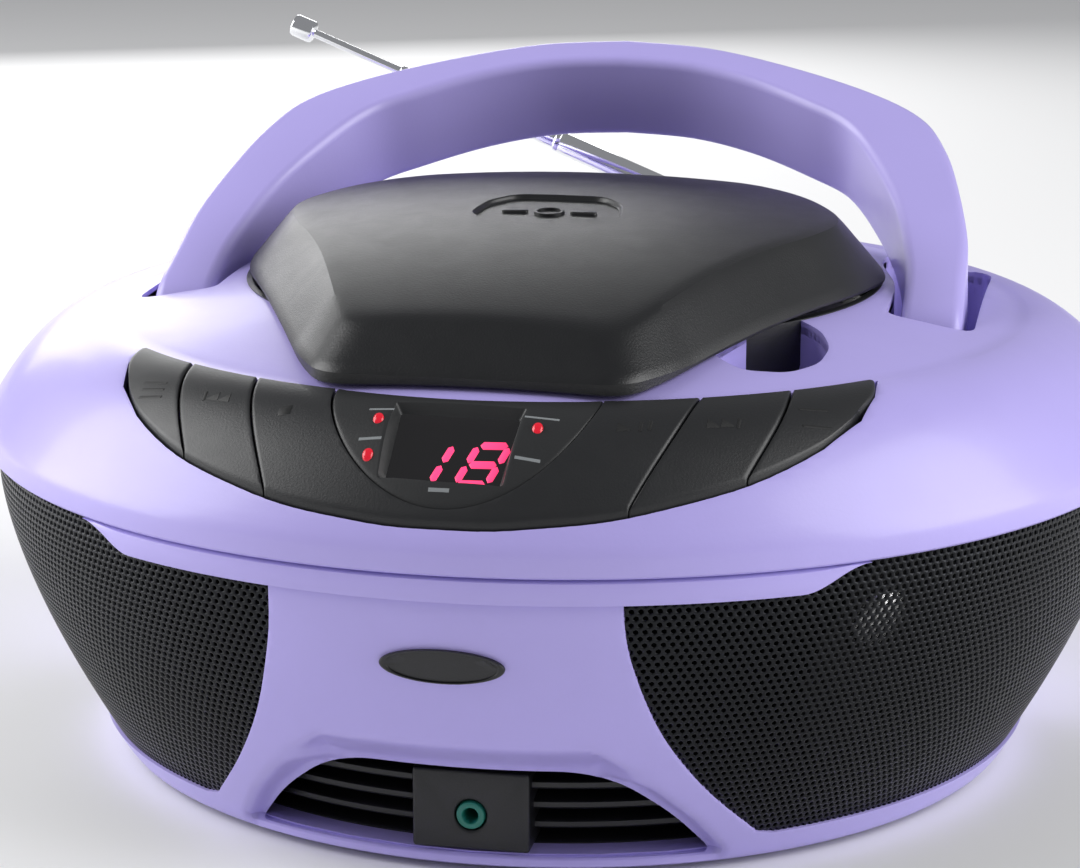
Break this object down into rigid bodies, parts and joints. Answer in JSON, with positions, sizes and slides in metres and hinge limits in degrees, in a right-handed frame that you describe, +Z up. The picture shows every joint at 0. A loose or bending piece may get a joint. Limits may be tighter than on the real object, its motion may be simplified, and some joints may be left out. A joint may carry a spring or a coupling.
{
  "type": "portable cd player",
  "caption": "Round portable disc player and radio with a hinged disc door, fold-back handle, top keys, display, telescopic aerial and front speakers.",
  "frame": {"origin": "on the floor under the centre of the cabinet", "axes": "+Z up, the front with the keys and grilles faces -Y, +X to the right seen from the front"},
  "size_m": [0.232, 0.228, 0.1332],
  "materials": {
    "lavender_plastic": "satin moulded plastic",
    "black_plastic": "fine textured black plastic",
    "key_plastic": "satin charcoal plastic",
    "grille_metal": "black painted perforated sheet",
    "chrome_plate": "polished",
    "bright_steel": "zinc plated",
    "red_lens": "clear red",
    "smoke_window": "smoked red window",
    "jack_plastic": "green plastic",
    "foot_rubber": "matt",
    "circuit_board": "solder mask",
    "copper_winding": "varnished wire and core",
    "cone_paper": "pressed paper",
    "white_plastic": "plain"
  },
  "bodies": {
    "cabinet": {"top_housing": "lavender_plastic", "door_hinge_pin": "bright_steel", "handle_pin_right": "bright_steel", "handle_pin_left": "bright_steel", "display_bezel": "key_plastic", "display_window": "smoke_window", "display_module": "white_plastic", "led_power": "red_lens", "led_radio": "red_lens", "led_play": "red_lens", "front_cabinet": "lavender_plastic", "grille_left": "grille_metal", "grille_right": "grille_metal", "rear_cabinet": "lavender_plastic", "volume_control": "bright_steel", "tuning_capacitor": "white_plastic", "power_inlet": "black_plastic", "base_plate": "lavender_plastic", "case_screw_1": "bright_steel", "case_screw_2": "bright_steel", "case_screw_3": "bright_steel", "case_screw_4": "bright_steel", "foot_1": "foot_rubber", "foot_2": "foot_rubber", "foot_3": "foot_rubber", "foot_4": "foot_rubber", "battery_contacts_left": "bright_steel", "battery_contacts_right": "bright_steel", "vent_panel": "black_plastic", "phone_jack": "jack_plastic", "badge": "black_plastic", "speaker_left": "bright_steel", "speaker_right": "bright_steel", "drive_deck": "black_plastic", "spindle_motor": "bright_steel", "sled_rail": "bright_steel", "main_board": "circuit_board", "power_transformer": "copper_winding"},
    "door": {"disc_door": "black_plastic"},
    "carry_handle": {"handle": "lavender_plastic"},
    "prog": {"key_prog": "key_plastic"},
    "previous": {"key_previous": "key_plastic"},
    "stop_play": {"key_stop_play": "key_plastic"},
    "next": {"key_next": "key_plastic"},
    "repeat": {"key_repeat": "key_plastic"},
    "volume": {"volume_knob": "black_plastic"},
    "tuning": {"tuning_knob": "black_plastic"},
    "function": {"function_switch": "black_plastic"},
    "band": {"band_switch": "black_plastic"},
    "battery_cover": {"battery_door": "lavender_plastic"},
    "cone_left": {"speaker_cone_left": "cone_paper"},
    "cone_right": {"speaker_cone_right": "cone_paper"},
    "disc_drive": {"turntable": "black_plastic"},
    "pickup": {"pickup_sled": "black_plastic"},
    "drive_gear": {"sled_gear": "white_plastic"},
    "aerial_foot": {"aerial_base": "chrome_plate"},
    "aerial_1": {"aerial_tube_1": "chrome_plate"},
    "aerial_2": {"aerial_tube_2": "chrome_plate"},
    "aerial_3": {"aerial_tube_3": "chrome_plate"},
    "aerial_4": {"aerial_tip": "chrome_plate"}
  },
  "joints": [
    {"name": "door_open", "type": "hinge", "parent": "cabinet", "child": "door", "pos_m": [0, 0.066, 0.0926], "axis": [-1, 0, 0], "range_deg": [0, 32]},
    {"name": "handle_fold", "type": "hinge", "parent": "cabinet", "child": "carry_handle", "pos_m": [0, -0.0105, 0.0834], "axis": [-1, 0, 0], "range_deg": [-60, 1]},
    {"name": "press_prog", "type": "slide", "parent": "cabinet", "child": "prog", "axis": [0, 0, -1], "range_m": [0, 0.0012], "stiffness_N_per_m": 400, "springref_m": -0.0005},
    {"name": "press_previous", "type": "slide", "parent": "cabinet", "child": "previous", "axis": [0, 0, -1], "range_m": [0, 0.0012], "stiffness_N_per_m": 400, "springref_m": -0.0005},
    {"name": "press_next", "type": "slide", "parent": "cabinet", "child": "next", "axis": [0, 0, -1], "range_m": [0, 0.0012], "stiffness_N_per_m": 400, "springref_m": -0.0005},
    {"name": "press_repeat", "type": "slide", "parent": "cabinet", "child": "repeat", "axis": [0, 0, -1], "range_m": [0, 0.0012], "stiffness_N_per_m": 400, "springref_m": -0.0005},
    {"name": "rock_stop_play", "type": "hinge", "parent": "cabinet", "child": "stop_play", "pos_m": [0, -0.1, 0.08], "axis": [0, 1, 0], "range_deg": [-0.8, 0.8], "stiffness_Nm_per_rad": 0.3},
    {"name": "turn_volume", "type": "hinge", "parent": "cabinet", "child": "volume", "pos_m": [-0.08679, 0.06781, 0.045], "axis": [-0.788, 0.6157, 0], "range_deg": [-150, 150]},
    {"name": "turn_tuning", "type": "hinge", "parent": "cabinet", "child": "tuning", "pos_m": [0.08679, 0.06781, 0.045], "axis": [0.788, 0.6157, 0], "range_deg": [-150, 150]},
    {"name": "slide_function", "type": "slide", "parent": "cabinet", "child": "function", "axis": [-0.848, -0.5299, 0], "range_m": [-0.0032, 0.0032]},
    {"name": "slide_band", "type": "slide", "parent": "cabinet", "child": "band", "axis": [-0.848, 0.5299, 0], "range_m": [-0.0032, 0.0032]},
    {"name": "battery_open", "type": "hinge", "parent": "cabinet", "child": "battery_cover", "pos_m": [0, -0.017, 0.0037], "axis": [1, 0, 0], "range_deg": [-95, 0]},
    {"name": "cone_left_throw", "type": "slide", "parent": "cabinet", "child": "cone_left", "axis": [-0.7433, -0.6237, -0.2419], "range_m": [-0.0006, 0.0006], "stiffness_N_per_m": 600},
    {"name": "cone_right_throw", "type": "slide", "parent": "cabinet", "child": "cone_right", "axis": [0.7433, -0.6237, -0.2419], "range_m": [-0.0006, 0.0006], "stiffness_N_per_m": 600},
    {"name": "disc_spin", "type": "hinge", "parent": "cabinet", "child": "disc_drive", "pos_m": [0, 0, 0.08], "axis": [0, 0, 1], "continuous": true},
    {"name": "pickup_travel", "type": "slide", "parent": "cabinet", "child": "pickup", "axis": [0, -1, 0], "range_m": [-0.006, 0.011]},
    {"name": "sled_gear_turn", "type": "hinge", "parent": "cabinet", "child": "drive_gear", "pos_m": [-0.018, -0.029, 0.067], "axis": [0, 0, 1], "range_deg": [-90, 90]},
    {"name": "aerial_swivel", "type": "hinge", "parent": "cabinet", "child": "aerial_foot", "pos_m": [0.043, 0.098, 0.079], "axis": [0, 0, 1], "range_deg": [-180, 0]},
    {"name": "aerial_tilt", "type": "hinge", "parent": "aerial_foot", "child": "aerial_1", "pos_m": [0.043, 0.098, 0.079], "axis": [0, 1, 0], "range_deg": [-16, 66]},
    {"name": "aerial_slide_1", "type": "slide", "parent": "aerial_1", "child": "aerial_2", "axis": [-0.9259, 0, 0.3778], "range_m": [-0.018, 0.036]},
    {"name": "aerial_slide_2", "type": "slide", "parent": "aerial_2", "child": "aerial_3", "axis": [-0.9259, 0, 0.3778], "range_m": [-0.019, 0.035]},
    {"name": "aerial_slide_3", "type": "slide", "parent": "aerial_3", "child": "aerial_4", "axis": [-0.9259, 0, 0.3778], "range_m": [-0.021, 0.033]}
  ],
  "couplings": [
    {"joint": "sled_gear_turn", "follows": "pickup_travel", "rad_per_m": 125}
  ]
}
